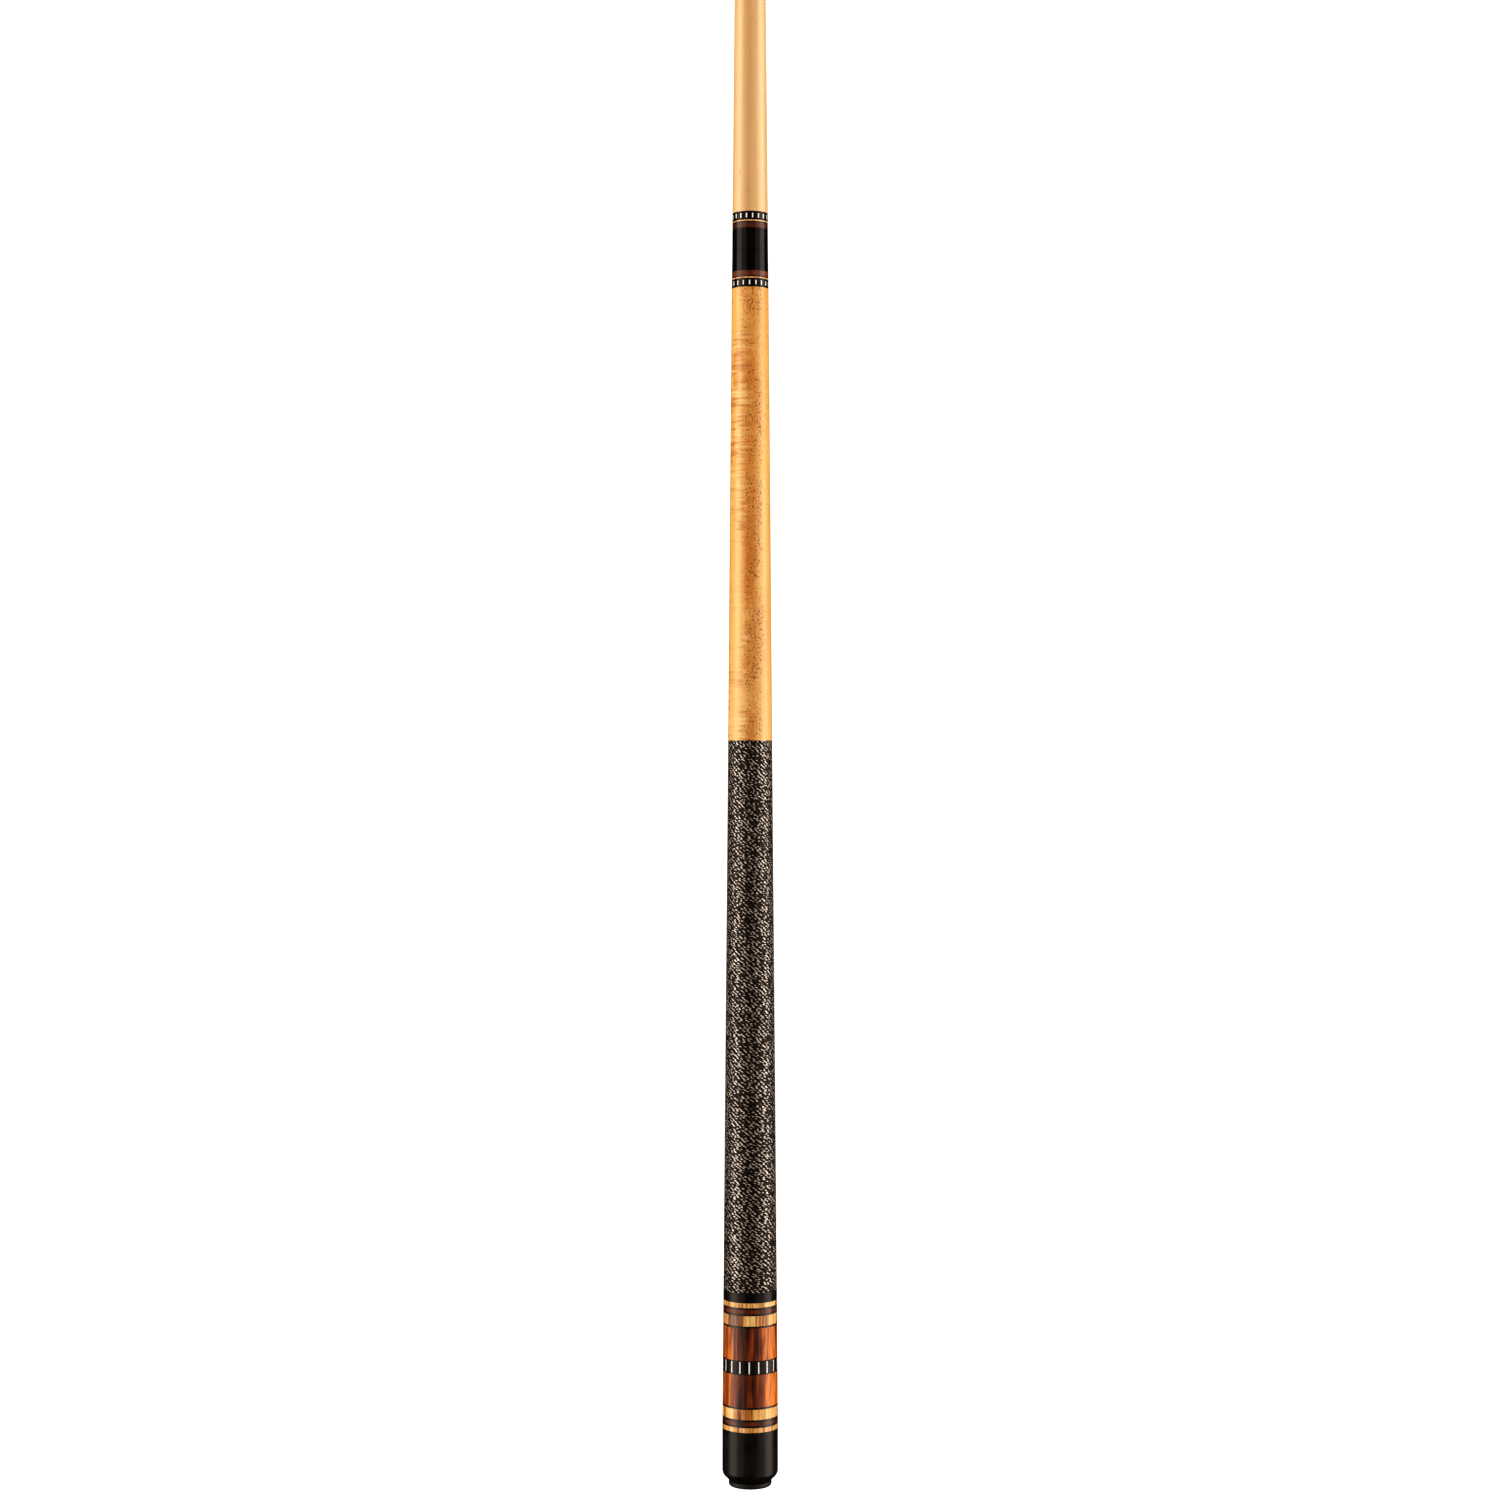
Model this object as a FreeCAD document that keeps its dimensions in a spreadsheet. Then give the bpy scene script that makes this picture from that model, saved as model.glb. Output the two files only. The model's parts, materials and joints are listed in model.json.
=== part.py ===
import FreeCAD, Part
import math
import os
import Sketcher

# A two-piece pool cue, standing upright on its bumper. Millimetres, +Z from the bumper to the tip,
# origin at the centre of the bumper's bottom face. Every piece is turned about the Z axis.

SHEET = "Dims"
OUTPUT_FOLDER = "parts"

# Driving dimensions: alias and value. Lengths are in millimetres and angles in degrees.
DIMENSIONS = (
    # lengths along the cue, from the bottom up
    ("bumper_length", 3.2),
    ("cap_length", 31.8),
    ("thin_ring_length", 2.8),
    ("veneer_length", 1.2),
    ("brown_ring_length", 2.4),
    ("streaked_ring_length", 6.1),
    ("sleeve_length", 19.3),
    ("sleeve_dash_ring_length", 8.5),
    ("wrap_stop_length", 6.1),
    ("wrap_length", 328.7),
    ("forearm_length", 270.8),
    ("joint_dash_ring_length", 5.2),
    ("joint_light_ring_length", 0.7),
    ("joint_veneer_length", 0.9),
    ("joint_brown_ring_length", 3.0),
    ("joint_collar_length", 12.5),
    ("shaft_collar_length", 13.1),
    ("shaft_length", 736.6),
    ("ferrule_length", 19.0),
    ("tip_pad_length", 1.0),
    ("leather_tip_length", 6.5),
    # outer radii at the stations where the taper changes
    ("bumper_radius", 12.9),
    ("cap_end_radius", 12.2),
    ("cap_radius", 16.7),
    ("wrap_bottom_radius", 16.07),
    ("wrap_top_radius", 13.25),
    ("forearm_top_radius", 11.03),
    ("joint_radius", 10.73),
    ("shaft_ring_top_radius", 10.58),
    ("shaft_end_radius", 6.375),
    ("pro_taper_length", 231.0),
    ("pro_taper_blend", 48.0),
    # butt cap and bumper
    ("cap_chamfer_height", 4.2),
    ("cap_shoulder_radius", 5.0),
    ("cap_floor_thickness", 10.8),
    ("cap_hole_radius", 6.6),
    ("bumper_edge_radius", 1.6),
    ("bumper_stem_radius", 6.55),
    ("bumper_stem_length", 9.0),
    ("bumper_stem_lead", 1.0),
    # handle, weight bolt and forearm screw
    ("tenon_radius", 9.5),
    ("wrap_thickness", 0.6),
    ("bolt_radius", 6.35),
    ("bolt_length", 76.2),
    ("bolt_depth", 4.0),
    ("bolt_bore_length", 84.0),
    ("bolt_socket_width", 7.94),
    ("bolt_socket_depth", 8.0),
    ("stud_radius", 4.76),
    ("stud_length", 84.0),
    ("stud_bore_depth", 44.0),
    ("stud_chamfer", 1.0),
    # joint
    ("joint_tenon_radius", 8.0),
    ("collar_edge", 0.12),
    ("dash_count", 18),
    ("dash_width", 0.8),
    ("dash_depth", 2.0),
    ("sleeve_dash_height", 7.0),
    ("joint_dash_height", 2.7),
    ("butt_dash_angle", -90),
    ("shaft_dash_angle", -80),
    ("thread_pitch", 1.8143),
    ("pin_major_radius", 3.97),
    ("pin_root_radius", 3.0),
    ("pin_root_width", 0.35),
    ("pin_shank_length", 30.0),
    ("pin_length", 28.0),
    ("pin_neck_length", 3.0),
    ("pin_nose_length", 2.0),
    ("pin_nose_radius", 2.6),
    ("insert_radius", 6.0),
    ("insert_length", 19.0),
    ("insert_bore_radius", 3.35),
    ("insert_root_radius", 4.12),
    ("insert_mouth_radius", 4.3),
    ("insert_mouth_depth", 4.4),
    ("thread_side_gap", 0.1),
    ("thread_overcut", 0.2),
    ("pin_well_radius", 4.3),
    ("pin_well_depth", 32.0),
    # ferrule and tip
    ("ferrule_tenon_radius", 4.2),
    ("ferrule_tenon_length", 13.0),
    ("tip_dome_radius", 10.6),
)

# How near an edge's size and place must be to the stated ones for it to be the edge meant.
EDGE_MATCH = 1e-3

# A hexagon has this many sides.
HEXAGON_SIDES = 6

# Thread flanks stand at 30 degrees to the section across the axis, so a 60 degree thread's groove
# widens by this much for each millimetre of radius.
FLANK_SPREAD = "2 * tan(30deg)"


def dim(alias):
    return f"{SHEET}.{alias}"


def total(*aliases):
    return " + ".join(dim(alias) for alias in aliases)


doc = FreeCAD.newDocument("PoolCue")
sheet = doc.addObject("Spreadsheet::Sheet", SHEET)
for row, (alias, value) in enumerate(DIMENSIONS, start=1):
    sheet.set(f"A{row}", alias)
    sheet.set(f"B{row}", str(value))
    sheet.setAlias(f"B{row}", alias)
doc.recompute()

pieces = []


def value_of(expression):
    """The number that an expression on the sheet gives."""
    result = sheet.evalExpression(expression)
    return float(getattr(result, "Value", result))


# Heights of the stations, as expressions on the sheet.
CAP_BOTTOM = total("bumper_length")
CAP_TOP = total("bumper_length", "cap_length")
LOWER_RINGS = (
    ("lower_thin_light_ring", "thin_ring_length"),
    ("lower_veneer_a", "veneer_length"),
    ("lower_brown_ring", "brown_ring_length"),
    ("lower_veneer_b", "veneer_length"),
    ("lower_streaked_ring", "streaked_ring_length"),
    ("lower_veneer_c", "veneer_length"),
    ("lower_cocobolo_sleeve", "sleeve_length"),
)
UPPER_RINGS = (
    ("upper_cocobolo_sleeve", "sleeve_length"),
    ("upper_veneer_a", "veneer_length"),
    ("upper_streaked_ring", "streaked_ring_length"),
    ("upper_veneer_b", "veneer_length"),
    ("upper_brown_ring", "brown_ring_length"),
    ("upper_veneer_c", "veneer_length"),
    ("upper_thin_light_ring", "thin_ring_length"),
    ("wrap_stop_ring", "wrap_stop_length"),
)
JOINT_RINGS = (
    ("joint_light_ring", "joint_light_ring_length"),
    ("joint_veneer", "joint_veneer_length"),
    ("joint_brown_ring", "joint_brown_ring_length"),
)
SHAFT_RINGS = (
    ("shaft_brown_ring", "joint_brown_ring_length"),
    ("shaft_veneer", "joint_veneer_length"),
    ("shaft_light_ring", "joint_light_ring_length"),
)


def lengths(rings):
    return [alias for _, alias in rings]


SLEEVE_DASH_BOTTOM = total("bumper_length", "cap_length", *lengths(LOWER_RINGS))
SLEEVE_DASH_TOP = f"{SLEEVE_DASH_BOTTOM} + {dim('sleeve_dash_ring_length')}"
WRAP_BOTTOM = f"{SLEEVE_DASH_TOP} + {total(*lengths(UPPER_RINGS))}"
WRAP_TOP = f"{WRAP_BOTTOM} + {dim('wrap_length')}"
FOREARM_TOP = f"{WRAP_TOP} + {dim('forearm_length')}"
JOINT_RINGS_BOTTOM = f"{FOREARM_TOP} + {dim('joint_dash_ring_length')}"
COLLAR_BOTTOM = f"{JOINT_RINGS_BOTTOM} + {total(*lengths(JOINT_RINGS))}"
JOINT_FACE = f"{COLLAR_BOTTOM} + {dim('joint_collar_length')}"
COLLAR_TOP = f"{JOINT_FACE} + {dim('shaft_collar_length')}"
SHAFT_DASH_BOTTOM = f"{COLLAR_TOP} + {total(*lengths(SHAFT_RINGS))}"
SHAFT_RINGS_TOP = f"{SHAFT_DASH_BOTTOM} + {dim('joint_dash_ring_length')}"
TIP_TOP = f"{JOINT_FACE} + {dim('shaft_length')}"
FERRULE_BOTTOM = f"{TIP_TOP} - ({total('leather_tip_length', 'tip_pad_length', 'ferrule_length')})"
PAD_BOTTOM = f"{TIP_TOP} - ({total('leather_tip_length', 'tip_pad_length')})"
LEATHER_BOTTOM = f"{TIP_TOP} - {dim('leather_tip_length')}"

# The cue's outside is a straight cone between each pair of stations: height and radius.
BUTT_SLEEVE_CONE = ((CAP_TOP, dim("cap_radius")), (WRAP_BOTTOM, dim("wrap_bottom_radius")))
WRAP_CONE = ((WRAP_BOTTOM, dim("wrap_bottom_radius")), (WRAP_TOP, dim("wrap_top_radius")))
FOREARM_CONE = ((WRAP_TOP, dim("wrap_top_radius")), (FOREARM_TOP, dim("forearm_top_radius")))
JOINT_CONE = ((FOREARM_TOP, dim("forearm_top_radius")), (JOINT_FACE, dim("joint_radius")))
SHAFT_CONE = ((JOINT_FACE, dim("joint_radius")), (SHAFT_RINGS_TOP, dim("shaft_ring_top_radius")))


def radius_on(cone, height):
    """Expression for the radius of a cone between two stations, at a height."""
    (low, low_radius), (high, high_radius) = cone
    share = f"(({height}) - ({low})) / (({high}) - ({low}))"
    return f"{low_radius} + ({high_radius} - {low_radius}) * {share}"


def origin_plane(body, role):
    return next(f for f in body.Origin.OriginFeatures if f.Role == role)


def bind(sketch, kind, geometry, position, expression):
    """Fix one coordinate of a sketch point to an expression on the sheet."""
    constraint = sketch.addConstraint(
        Sketcher.Constraint(kind, geometry, position, value_of(expression))
    )
    sketch.setExpression(f"Constraints[{constraint}]", expression)


def profile_sketch(body, outline):
    """A closed outline in the XZ plane, as (radius, height) expressions in order."""
    sketch = body.newObject("Sketcher::SketchObject", f"{body.Name}_profile")
    sketch.AttachmentSupport = [(origin_plane(body, "XZ_Plane"), "")]
    sketch.MapMode = "FlatFace"
    corners = [FreeCAD.Vector(value_of(r), value_of(z), 0) for r, z in outline]
    for start, end in zip(corners, corners[1:] + corners[:1]):
        sketch.addGeometry(Part.LineSegment(start, end))
    for line, (radius, height) in enumerate(outline):
        previous = (line - 1) % len(outline)
        sketch.addConstraint(Sketcher.Constraint("Coincident", previous, 2, line, 1))
        bind(sketch, "DistanceX", line, 1, radius)
        bind(sketch, "DistanceY", line, 1, height)
    return sketch


def turned_body(label, outline):
    """A body turned about Z from one closed outline."""
    body = doc.addObject("PartDesign::Body", label)
    sketch = profile_sketch(body, outline)
    turned = body.newObject("PartDesign::Revolution", f"{label}_turned")
    turned.Profile = sketch
    turned.ReferenceAxis = (sketch, ["V_Axis"])
    turned.Angle = 360
    pieces.append(body)
    return body


def circle_edge(shape, radius, height):
    """Name of the full circle about Z with this radius and height, as a feature calls it."""
    for number, edge in enumerate(shape.Edges, start=1):
        curve = edge.Curve
        if not isinstance(curve, Part.Circle):
            continue
        if abs(curve.Radius - radius) < EDGE_MATCH and abs(curve.Center.z - height) < EDGE_MATCH:
            return f"Edge{number}"
    raise ValueError(f"no edge of radius {radius:.3f} at height {height:.3f}")


def dress_edge(body, kind, size_property, size, radius, height):
    """Add a fillet or chamfer to one circular edge of a turned body."""
    doc.recompute()
    base = body.Tip
    edge = circle_edge(base.Shape, value_of(radius), value_of(height))
    feature = body.newObject(kind, f"{body.Name}_edge")
    feature.Base = (base, [edge])
    feature.setExpression(size_property, size)
    body.Tip = feature


def ring(label, cone, bottom, top, bore):
    """A tapered ring between two heights, with a straight bore."""
    return turned_body(
        label,
        [(bore, bottom), (radius_on(cone, bottom), bottom), (radius_on(cone, top), top), (bore, top)],
    )


def ring_stack(rings, cone, bottom, bore):
    """Rings one on top of the other. Returns the height of the last one's top."""
    for label, length in rings:
        top = f"{bottom} + {dim(length)}"
        ring(label, cone, bottom, top, bore)
        bottom = top
    return bottom


def bound(kind, name, **expressions):
    """A Part primitive whose sizes are bound to the sheet."""
    primitive = doc.addObject(kind, name)
    for key, expression in expressions.items():
        primitive.setExpression(key, expression)
    return primitive


def boolean(kind, name, base, tool):
    result = doc.addObject(kind, name)
    result.Base = base
    result.Tool = tool
    return result


def cone_between(name, cone, bottom, top, inner=None):
    """A solid frustum following one of the cue's cones, or its core at a radius."""
    frustum = bound(
        "Part::Cone",
        name,
        Radius1=inner or radius_on(cone, bottom),
        Radius2=inner or radius_on(cone, top),
        Height=f"({top}) - ({bottom})",
    )
    frustum.setExpression("Placement.Base.z", bottom)
    return frustum


def dash_ring(ring_label, dashes_label, cone, bottom, top, bore, height, first_angle):
    """A ring with upright inlays let into its outside, flush with it, and the group of inlays."""
    count = round(value_of(dim("dash_count")))
    middle = f"(({bottom}) + ({top})) / 2"
    slabs = []
    for index in range(count):
        slab = bound(
            "Part::Box",
            f"{dashes_label}_slab_{index}",
            Length=dim("cap_radius"),
            Width=dim("dash_width"),
            Height=height,
        )
        angle = value_of(first_angle) + 360 * index / count
        turn = FreeCAD.Rotation(FreeCAD.Vector(0, 0, 1), angle)
        half_width = value_of(dim("dash_width")) / 2
        low = value_of(middle) - value_of(height) / 2
        slab.Placement = FreeCAD.Placement(turn.multVec(FreeCAD.Vector(0, -half_width, low)), turn)
        slabs.append(slab)
    star = doc.addObject("Part::MultiFuse", f"{dashes_label}_star")
    star.Shapes = slabs
    outside = cone_between(f"{dashes_label}_outside", cone, bottom, top)
    floor = cone_between(
        f"{dashes_label}_floor", cone, bottom, top, f"{radius_on(cone, middle)} - {dim('dash_depth')}"
    )
    skin = boolean("Part::Cut", f"{dashes_label}_skin", outside, floor)
    dashes = boolean("Part::Common", dashes_label, skin, star)
    blank = boolean(
        "Part::Cut",
        f"{ring_label}_blank",
        cone_between(f"{ring_label}_outside", cone, bottom, top),
        cone_between(f"{ring_label}_bore", cone, bottom, top, bore),
    )
    slotted = boolean("Part::Cut", ring_label, blank, dashes)
    pieces.extend((slotted, dashes))


def helical_groove(body, name, profile, height):
    """Cut a right-handed groove along the whole thread with a (radius, height) profile."""
    sketch = profile_sketch(body, profile)
    groove = body.newObject("PartDesign::SubtractiveHelix", name)
    groove.Profile = sketch
    groove.ReferenceAxis = (sketch, ["V_Axis"])
    groove.Mode = 0
    groove.setExpression("Pitch", dim("thread_pitch"))
    groove.setExpression("Height", height)
    groove.LeftHanded = False
    groove.Reversed = False
    body.Tip = groove
    return groove


def groove_profile(middle, inner, inner_width, outer, outer_width):
    """A trapezium across a thread groove, centred on a height."""
    return [
        (inner, f"{middle} - ({inner_width}) / 2"),
        (outer, f"{middle} - ({outer_width}) / 2"),
        (outer, f"{middle} + ({outer_width}) / 2"),
        (inner, f"{middle} + ({inner_width}) / 2"),
    ]


# Bumper: a rounded rubber foot with a stem that pushes into the cap.
STEM_TOP = f"{CAP_BOTTOM} + {dim('bumper_stem_length')}"
bumper = turned_body(
    "rubber_bumper",
    [
        ("0", "0"),
        (dim("bumper_radius"), "0"),
        (dim("bumper_radius"), CAP_BOTTOM),
        (dim("bumper_stem_radius"), CAP_BOTTOM),
        (dim("bumper_stem_radius"), f"{STEM_TOP} - {dim('bumper_stem_lead')}"),
        (f"{dim('bumper_stem_radius')} - {dim('bumper_stem_lead')}", STEM_TOP),
        ("0", STEM_TOP),
    ],
)
dress_edge(
    bumper, "PartDesign::Fillet", "Radius", dim("bumper_edge_radius"), dim("bumper_radius"), "0"
)

# Butt cap: chamfered towards the bumper, with a rounded shoulder, a floor with the bumper's hole,
# and a socket for the handle's tenon.
CAP_FLOOR = f"{CAP_BOTTOM} + {dim('cap_floor_thickness')}"
CAP_SHOULDER = f"{CAP_BOTTOM} + {dim('cap_chamfer_height')}"
cap = turned_body(
    "butt_cap",
    [
        (dim("cap_hole_radius"), CAP_BOTTOM),
        (dim("cap_end_radius"), CAP_BOTTOM),
        (dim("cap_radius"), CAP_SHOULDER),
        (dim("cap_radius"), CAP_TOP),
        (dim("tenon_radius"), CAP_TOP),
        (dim("tenon_radius"), CAP_FLOOR),
        (dim("cap_hole_radius"), CAP_FLOOR),
    ],
)
dress_edge(
    cap, "PartDesign::Fillet", "Radius", dim("cap_shoulder_radius"), dim("cap_radius"), CAP_SHOULDER
)

# Butt sleeve: rings, two cocobolo sleeves and the inlaid ring between them, all on the tenon.
ring_stack(LOWER_RINGS, BUTT_SLEEVE_CONE, CAP_TOP, dim("tenon_radius"))
dash_ring(
    "sleeve_dash_ring",
    "sleeve_dashes",
    BUTT_SLEEVE_CONE,
    SLEEVE_DASH_BOTTOM,
    SLEEVE_DASH_TOP,
    dim("tenon_radius"),
    dim("sleeve_dash_height"),
    first_angle=dim("butt_dash_angle"),
)
ring_stack(UPPER_RINGS, BUTT_SLEEVE_CONE, SLEEVE_DASH_TOP, dim("tenon_radius"))

# Handle: the maple dowel under the wrap, with the long tenon below it.
UNDER_WRAP_BOTTOM = f"{dim('wrap_bottom_radius')} - {dim('wrap_thickness')}"
UNDER_WRAP_TOP = f"{dim('wrap_top_radius')} - {dim('wrap_thickness')}"
BOLT_BORE_TOP = f"{CAP_FLOOR} + {dim('bolt_bore_length')}"
turned_body(
    "handle",
    [
        (dim("bolt_radius"), CAP_FLOOR),
        (dim("tenon_radius"), CAP_FLOOR),
        (dim("tenon_radius"), WRAP_BOTTOM),
        (UNDER_WRAP_BOTTOM, WRAP_BOTTOM),
        (UNDER_WRAP_TOP, WRAP_TOP),
        (dim("stud_radius"), WRAP_TOP),
        (dim("stud_radius"), f"{WRAP_TOP} - {dim('stud_bore_depth')}"),
        ("0", f"{WRAP_TOP} - {dim('stud_bore_depth')}"),
        ("0", BOLT_BORE_TOP),
        (dim("bolt_radius"), BOLT_BORE_TOP),
    ],
)
turned_body(
    "linen_wrap",
    [
        (UNDER_WRAP_BOTTOM, WRAP_BOTTOM),
        (dim("wrap_bottom_radius"), WRAP_BOTTOM),
        (dim("wrap_top_radius"), WRAP_TOP),
        (UNDER_WRAP_TOP, WRAP_TOP),
    ],
)

# Weight bolt: a steel plug with a hexagon socket that faces the bumper.
BOLT_BOTTOM = f"{CAP_FLOOR} + {dim('bolt_depth')}"
bolt_blank = bound(
    "Part::Cylinder", "weight_bolt_blank", Radius=dim("bolt_radius"), Height=dim("bolt_length")
)
bolt_blank.setExpression("Placement.Base.z", BOLT_BOTTOM)
bolt_socket = bound(
    "Part::Prism",
    "weight_bolt_socket",
    Circumradius=f"{dim('bolt_socket_width')} / 2 / cos(30deg)",
    Height=dim("bolt_socket_depth"),
)
bolt_socket.Polygon = HEXAGON_SIDES
bolt_socket.setExpression("Placement.Base.z", BOLT_BOTTOM)
pieces.append(boolean("Part::Cut", "weight_bolt", bolt_blank, bolt_socket))

# Forearm, with the stud that joins it to the handle, and the tenon under the joint rings.
turned_body(
    "forearm",
    [
        (dim("stud_radius"), WRAP_TOP),
        (dim("wrap_top_radius"), WRAP_TOP),
        (dim("forearm_top_radius"), FOREARM_TOP),
        (dim("joint_tenon_radius"), FOREARM_TOP),
        (dim("joint_tenon_radius"), JOINT_FACE),
        (dim("pin_major_radius"), JOINT_FACE),
        (dim("pin_major_radius"), f"{JOINT_FACE} - {dim('pin_shank_length')}"),
        ("0", f"{JOINT_FACE} - {dim('pin_shank_length')}"),
        ("0", f"{WRAP_TOP} + {dim('stud_bore_depth')}"),
        (dim("stud_radius"), f"{WRAP_TOP} + {dim('stud_bore_depth')}"),
    ],
)
STUD_BOTTOM = f"{WRAP_TOP} - {dim('stud_length')} / 2"
STUD_TOP = f"{WRAP_TOP} + {dim('stud_length')} / 2"
stud = turned_body(
    "forearm_screw",
    [
        ("0", STUD_BOTTOM),
        (dim("stud_radius"), STUD_BOTTOM),
        (dim("stud_radius"), STUD_TOP),
        ("0", STUD_TOP),
    ],
)
for stud_end in (STUD_BOTTOM, STUD_TOP):
    dress_edge(
        stud, "PartDesign::Chamfer", "Size", dim("stud_chamfer"), dim("stud_radius"), stud_end
    )

# The butt's half of the joint.
dash_ring(
    "joint_dash_ring",
    "joint_dashes",
    JOINT_CONE,
    FOREARM_TOP,
    JOINT_RINGS_BOTTOM,
    dim("joint_tenon_radius"),
    dim("joint_dash_height"),
    first_angle=dim("butt_dash_angle"),
)
ring_stack(JOINT_RINGS, JOINT_CONE, JOINT_RINGS_BOTTOM, dim("joint_tenon_radius"))
joint_collar = ring(
    "joint_collar", JOINT_CONE, COLLAR_BOTTOM, JOINT_FACE, dim("joint_tenon_radius")
)

# Joint pin: a shank glued into the forearm, a plain neck, and a right-handed thread.
PIN_TOP = f"{JOINT_FACE} + {dim('pin_length')}"
NECK_TOP = f"{JOINT_FACE} + {dim('pin_neck_length')}"
pin = turned_body(
    "joint_pin",
    [
        ("0", f"{JOINT_FACE} - {dim('pin_shank_length')}"),
        (dim("pin_major_radius"), f"{JOINT_FACE} - {dim('pin_shank_length')}"),
        (dim("pin_major_radius"), f"{PIN_TOP} - {dim('pin_nose_length')}"),
        (dim("pin_nose_radius"), PIN_TOP),
        ("0", PIN_TOP),
    ],
)
GROOVE_OUTSIDE = f"({total('pin_major_radius', 'thread_overcut')})"
helical_groove(
    pin,
    "joint_pin_thread",
    groove_profile(
        NECK_TOP,
        dim("pin_root_radius"),
        dim("pin_root_width"),
        GROOVE_OUTSIDE,
        f"{dim('pin_root_width')} + {FLANK_SPREAD} * ({GROOVE_OUTSIDE} - {dim('pin_root_radius')})",
    ),
    f"{dim('pin_length')} + {dim('thread_pitch')}",
)

# The shaft's half of the joint, mirrored about the joint face.
shaft_collar = ring("shaft_collar", SHAFT_CONE, JOINT_FACE, COLLAR_TOP, dim("joint_tenon_radius"))
for collar in (joint_collar, shaft_collar):
    dress_edge(
        collar, "PartDesign::Chamfer", "Size", dim("collar_edge"), dim("joint_radius"), JOINT_FACE
    )
ring_stack(SHAFT_RINGS, SHAFT_CONE, COLLAR_TOP, dim("joint_tenon_radius"))
dash_ring(
    "shaft_dash_ring",
    "shaft_dashes",
    SHAFT_CONE,
    SHAFT_DASH_BOTTOM,
    SHAFT_RINGS_TOP,
    dim("joint_tenon_radius"),
    dim("joint_dash_height"),
    first_angle=dim("shaft_dash_angle"),
)

# Threaded brass insert, with a wide mouth that clears the pin's plain neck. Its groove follows the
# pin's ridge, half a pitch above the pin's groove, and is wider by the side gap on each flank.
INSERT_TOP = f"{JOINT_FACE} + {dim('insert_length')}"
INSERT_MOUTH_TOP = f"{JOINT_FACE} + {dim('insert_mouth_depth')}"
insert = turned_body(
    "shaft_insert",
    [
        (dim("insert_mouth_radius"), JOINT_FACE),
        (dim("insert_radius"), JOINT_FACE),
        (dim("insert_radius"), INSERT_TOP),
        (dim("insert_bore_radius"), INSERT_TOP),
        (dim("insert_bore_radius"), INSERT_MOUTH_TOP),
        (dim("insert_mouth_radius"), INSERT_MOUTH_TOP),
    ],
)
TURNS_BELOW_FACE = math.ceil(value_of(dim("pin_neck_length")) / value_of(dim("thread_pitch"))) + 1
TURNS_ABOVE_INSERT = 2
INSERT_GROOVE_START = f"{NECK_TOP} + (0.5 - {TURNS_BELOW_FACE}) * {dim('thread_pitch')}"
INSERT_GROOVE_INSIDE = f"({dim('insert_bore_radius')} - {dim('thread_overcut')})"


def insert_groove_width(radius):
    """The pin's ridge at a radius, and the side gap on both flanks."""
    ridge = (
        f"{dim('thread_pitch')} - {dim('pin_root_width')}"
        f" - {FLANK_SPREAD} * ({radius} - {dim('pin_root_radius')})"
    )
    return f"{ridge} + 2 * {dim('thread_side_gap')}"


helical_groove(
    insert,
    "shaft_insert_thread",
    groove_profile(
        INSERT_GROOVE_START,
        INSERT_GROOVE_INSIDE,
        insert_groove_width(INSERT_GROOVE_INSIDE),
        dim("insert_root_radius"),
        insert_groove_width(dim("insert_root_radius")),
    ),
    f"{dim('insert_length')} + {TURNS_BELOW_FACE + TURNS_ABOVE_INSERT} * {dim('thread_pitch')}",
)

# Shaft: a compound taper of a long cone, a slower cone that eases it off, and a parallel stretch up
# to the ferrule. It has a tenon at each end, the insert's seat and a well that clears the pin.
TAPER_END = f"{FERRULE_BOTTOM} - {dim('pro_taper_length')}"
TAPER_CONE = (
    (SHAFT_RINGS_TOP, dim("shaft_ring_top_radius")),
    (TAPER_END, dim("shaft_end_radius")),
)
BLEND_BOTTOM = f"{TAPER_END} - {dim('pro_taper_blend')}"
BLEND_TOP = f"{TAPER_END} + {dim('pro_taper_blend')}"
FERRULE_TENON_TOP = f"{FERRULE_BOTTOM} + {dim('ferrule_tenon_length')}"
WELL_TOP = f"{JOINT_FACE} + {dim('pin_well_depth')}"
turned_body(
    "shaft_maple",
    [
        ("0", WELL_TOP),
        ("0", FERRULE_TENON_TOP),
        (dim("ferrule_tenon_radius"), FERRULE_TENON_TOP),
        (dim("ferrule_tenon_radius"), FERRULE_BOTTOM),
        (dim("shaft_end_radius"), FERRULE_BOTTOM),
        (dim("shaft_end_radius"), BLEND_TOP),
        (radius_on(TAPER_CONE, BLEND_BOTTOM), BLEND_BOTTOM),
        (dim("shaft_ring_top_radius"), SHAFT_RINGS_TOP),
        (dim("joint_tenon_radius"), SHAFT_RINGS_TOP),
        (dim("joint_tenon_radius"), JOINT_FACE),
        (dim("insert_radius"), JOINT_FACE),
        (dim("insert_radius"), INSERT_TOP),
        (dim("pin_well_radius"), INSERT_TOP),
        (dim("pin_well_radius"), WELL_TOP),
    ],
)

# Ferrule: a cap with a blind socket for the shaft's upper tenon.
turned_body(
    "ferrule",
    [
        (dim("ferrule_tenon_radius"), FERRULE_BOTTOM),
        (dim("shaft_end_radius"), FERRULE_BOTTOM),
        (dim("shaft_end_radius"), PAD_BOTTOM),
        ("0", PAD_BOTTOM),
        ("0", FERRULE_TENON_TOP),
        (dim("ferrule_tenon_radius"), FERRULE_TENON_TOP),
    ],
)
turned_body(
    "tip_pad",
    [
        ("0", PAD_BOTTOM),
        (dim("shaft_end_radius"), PAD_BOTTOM),
        (dim("shaft_end_radius"), LEATHER_BOTTOM),
        ("0", LEATHER_BOTTOM),
    ],
)

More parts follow.
